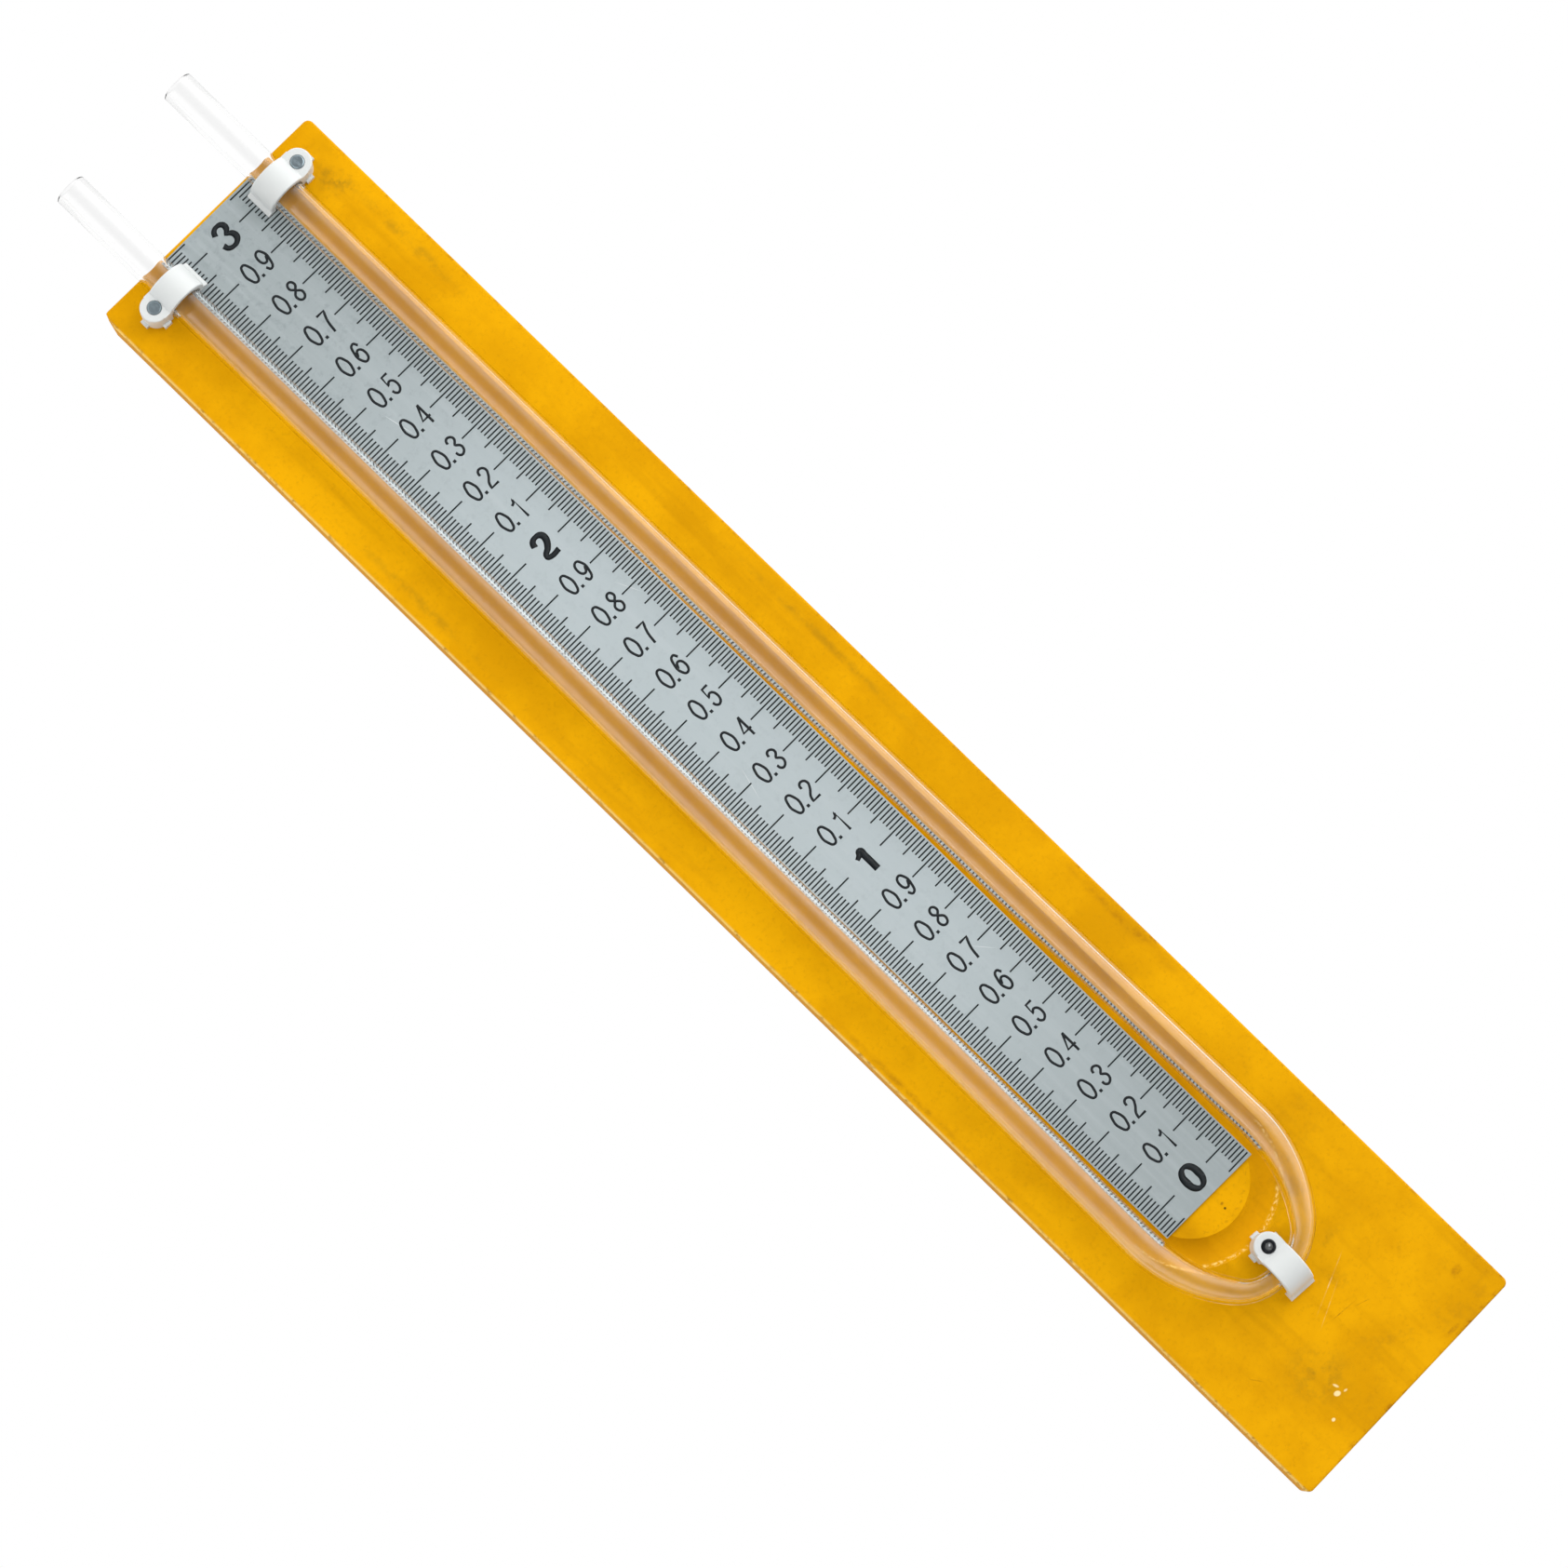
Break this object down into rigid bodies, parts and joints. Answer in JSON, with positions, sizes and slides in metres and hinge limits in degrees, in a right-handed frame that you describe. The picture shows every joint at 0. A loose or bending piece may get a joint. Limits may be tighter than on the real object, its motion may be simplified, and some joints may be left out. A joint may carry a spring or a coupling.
{
  "type": "u-tube manometer",
  "caption": "U-tube manometer: a bent glass tube seated in a groove of a narrow painted board, held by nail-on clips over a long metal measuring scale",
  "frame": {"origin": "centre of the board's flat back face, midway along its length and width", "axes": "+Z out of the front of the board, square to the back face; +Y along the board towards the open ends of the tube; +X to the right when the front is seen with the open ends at the top"},
  "size_m": [0.0644, 0.3976, 0.0168],
  "materials": {
    "board": "yellow-ochre painted wood, worn",
    "tape": "double-sided adhesive tape",
    "plate": "matt satin sheet, printed graduations",
    "glass": "clear soda-lime glass, dry",
    "clip": "white moulded plastic",
    "nail": "bright steel, flat head"
  },
  "bodies": {
    "root": {"backboard": "board", "scale_tape": "tape", "scale_plate": "plate", "u_tube": "glass", "clip_left": "clip", "clip_right": "clip", "clip_bend": "clip", "nail_left": "nail", "nail_right": "nail", "nail_bend": "nail"}
  },
  "joints": []
}
